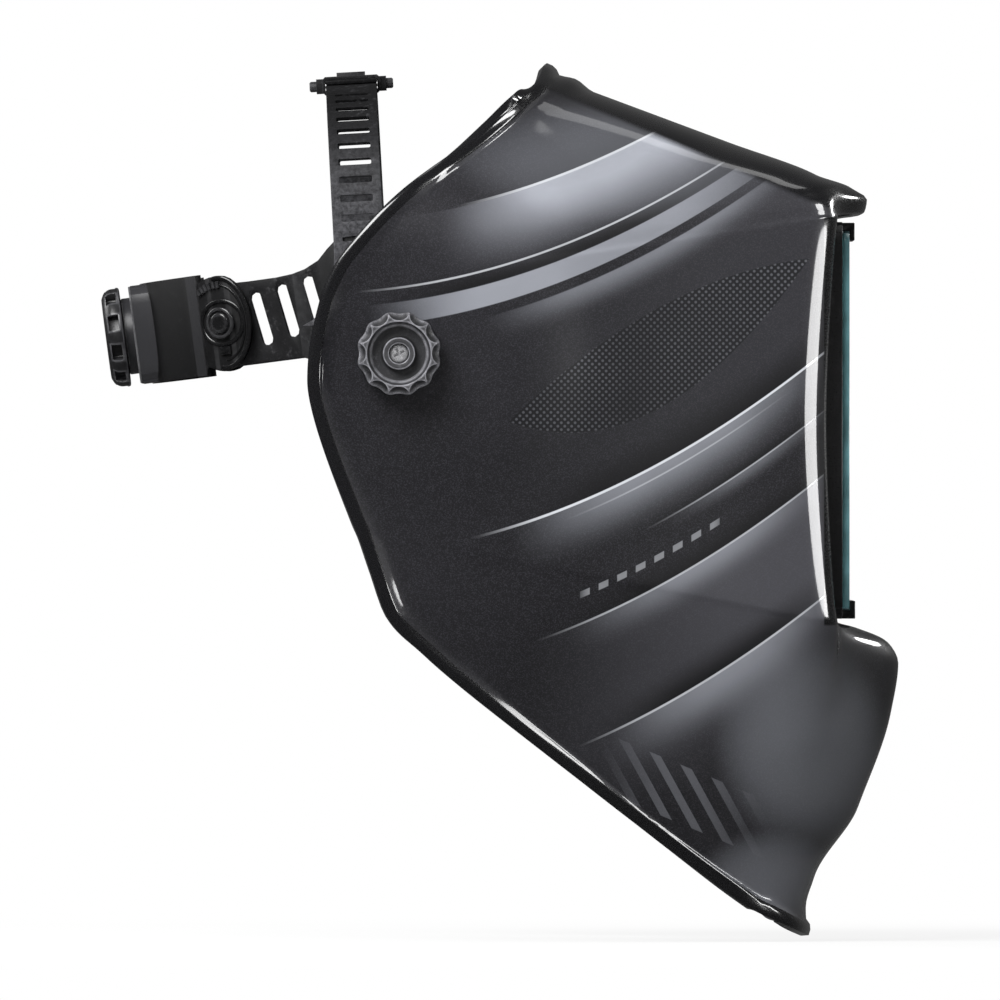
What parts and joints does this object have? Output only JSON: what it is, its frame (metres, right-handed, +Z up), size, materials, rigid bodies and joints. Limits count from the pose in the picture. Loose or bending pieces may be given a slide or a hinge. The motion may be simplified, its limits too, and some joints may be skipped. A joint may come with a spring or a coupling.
{
  "type": "welding helmet",
  "caption": "Welding helmet: moulded mask with a dark filter cassette and clear cover lens, tilting on fluted tension knobs over a ratchet headband with crown straps.",
  "frame": {"origin": "middle of the tilt axis, half way between the two tension knobs, inside the wearer's head", "axes": "+X forward, the way the wearer looks; +Y to the wearer's left; +Z up; the mask is down in its working pose"},
  "size_m": [0.3029, 0.2528, 0.3312],
  "materials": {
    "shell_paint": "charcoal paint with a silver-grey print under clear coat",
    "black_moulding": "satin black moulding",
    "clear_lens": "clear plate, teal at the edge",
    "dark_filter": "polished dark green",
    "solar_film": "deep violet, glossy",
    "knob_plastic": "grained dark grey",
    "headgear_plastic": "satin black, flexible",
    "bright_steel": "plated, bright",
    "fibre_washer": "dry grey fibre",
    "towelling": "black terry over foam"
  },
  "bodies": {
    "headgear": {"brow_band": "headgear_plastic", "sweatband": "towelling", "slide_rail_right": "headgear_plastic", "slide_rail_left": "headgear_plastic", "crown_strap_right": "headgear_plastic", "crown_strap_left": "headgear_plastic", "crown_buckle": "headgear_plastic", "cradle_rivet_right": "headgear_plastic", "cradle_rivet_left": "headgear_plastic"},
    "carrier_right": {"slide_block_right": "headgear_plastic", "pivot_stud_right": "bright_steel", "stop_plate_right": "black_moulding", "inner_washer_right": "fibre_washer", "outer_washer_right": "fibre_washer"},
    "carrier_left": {"slide_block_left": "headgear_plastic", "pivot_stud_left": "bright_steel", "stop_plate_left": "black_moulding", "inner_washer_left": "fibre_washer", "outer_washer_left": "fibre_washer"},
    "mask": {"shell": "shell_paint", "window_frame": "black_moulding", "cover_lens": "clear_lens", "filter_case": "black_moulding", "filter_glass": "dark_filter", "inner_lens": "clear_lens", "solar_cell": "solar_film", "arc_sensor_1": "dark_filter", "arc_sensor_2": "dark_filter", "arc_sensor_3": "dark_filter", "arc_sensor_4": "dark_filter", "retaining_frame": "black_moulding", "battery_cell": "bright_steel", "pivot_bush_right": "black_moulding", "pivot_bush_left": "black_moulding", "stop_pin_right": "bright_steel", "stop_pin_left": "bright_steel"},
    "friction_right": {"tension_knob_right": "knob_plastic", "knob_screw_right": "bright_steel"},
    "friction_left": {"tension_knob_left": "knob_plastic", "knob_screw_left": "bright_steel"},
    "shade_control": {"shade_dial": "knob_plastic"},
    "sensitivity_control": {"sensitivity_dial": "knob_plastic"},
    "delay_control": {"delay_dial": "knob_plastic"},
    "test_control": {"test_button": "knob_plastic"},
    "battery_door": {"battery_cover": "black_moulding"},
    "cradle": {"ratchet_housing": "headgear_plastic", "ratchet_base": "headgear_plastic", "detent_spring": "bright_steel", "nape_pad": "towelling"},
    "ratchet_drive": {"ratchet_knob": "knob_plastic", "ratchet_pinion": "headgear_plastic"},
    "tail_left": {"ratchet_rack_left": "headgear_plastic"},
    "tail_right": {"ratchet_rack_right": "headgear_plastic"}
  },
  "joints": [
    {"name": "reach_right", "type": "slide", "parent": "headgear", "child": "carrier_right", "axis": [0.9914, 0, 0.1305], "range_m": [-0.008, 0.008]},
    {"name": "reach_left", "type": "slide", "parent": "headgear", "child": "carrier_left", "axis": [0.9914, 0, 0.1305], "range_m": [-0.008, 0.008]},
    {"name": "mask_tilt", "type": "hinge", "parent": "carrier_right", "child": "mask", "pos_m": [0, 0, 0], "axis": [0, -1, 0], "range_deg": [0, 65]},
    {"name": "tension_right", "type": "hinge", "parent": "carrier_right", "child": "friction_right", "pos_m": [0, -0.12, 0], "axis": [0, -1, 0], "range_deg": [-180, 180]},
    {"name": "tension_left", "type": "hinge", "parent": "carrier_left", "child": "friction_left", "pos_m": [0, 0.12, 0], "axis": [0, 1, 0], "range_deg": [-180, 180]},
    {"name": "shade_turn", "type": "hinge", "parent": "mask", "child": "shade_control", "pos_m": [0.151, -0.046, -0.074], "axis": [-1, 0, 0], "range_deg": [0, 270]},
    {"name": "sensitivity_turn", "type": "hinge", "parent": "mask", "child": "sensitivity_control", "pos_m": [0.151, -0.0219, -0.074], "axis": [-1, 0, 0], "range_deg": [0, 270]},
    {"name": "delay_turn", "type": "hinge", "parent": "mask", "child": "delay_control", "pos_m": [0.151, 0.0002, -0.074], "axis": [-1, 0, 0], "range_deg": [0, 270]},
    {"name": "test_press", "type": "slide", "parent": "mask", "child": "test_control", "axis": [1, 0, 0], "range_m": [0, 0.0012], "stiffness_N_per_m": 900},
    {"name": "battery_turn", "type": "hinge", "parent": "mask", "child": "battery_door", "pos_m": [0.151, 0.045, -0.074], "axis": [-1, 0, 0], "range_deg": [0, 90]},
    {"name": "cradle_tilt", "type": "hinge", "parent": "headgear", "child": "cradle", "pos_m": [-0.06421, 0, 0.01222], "axis": [0, 1, 0], "range_deg": [-10, 10]},
    {"name": "ratchet_turn", "type": "hinge", "parent": "cradle", "child": "ratchet_drive", "pos_m": [-0.10628, 0, 0.00668], "axis": [-0.9914, 0, -0.1305], "range_deg": [-88, 88]},
    {"name": "tail_left_run", "type": "slide", "parent": "cradle", "child": "tail_left", "axis": [0, 1, 0], "range_m": [-0.0131, 0.0131]},
    {"name": "tail_right_run", "type": "slide", "parent": "cradle", "child": "tail_right", "axis": [0, 1, 0], "range_m": [-0.0131, 0.0131]}
  ],
  "couplings": [
    {"joint": "reach_left", "follows": "reach_right", "ratio": 1},
    {"joint": "tail_left_run", "follows": "ratchet_turn", "m_per_rad": 0.0084},
    {"joint": "tail_right_run", "follows": "ratchet_turn", "m_per_rad": -0.0084}
  ]
}
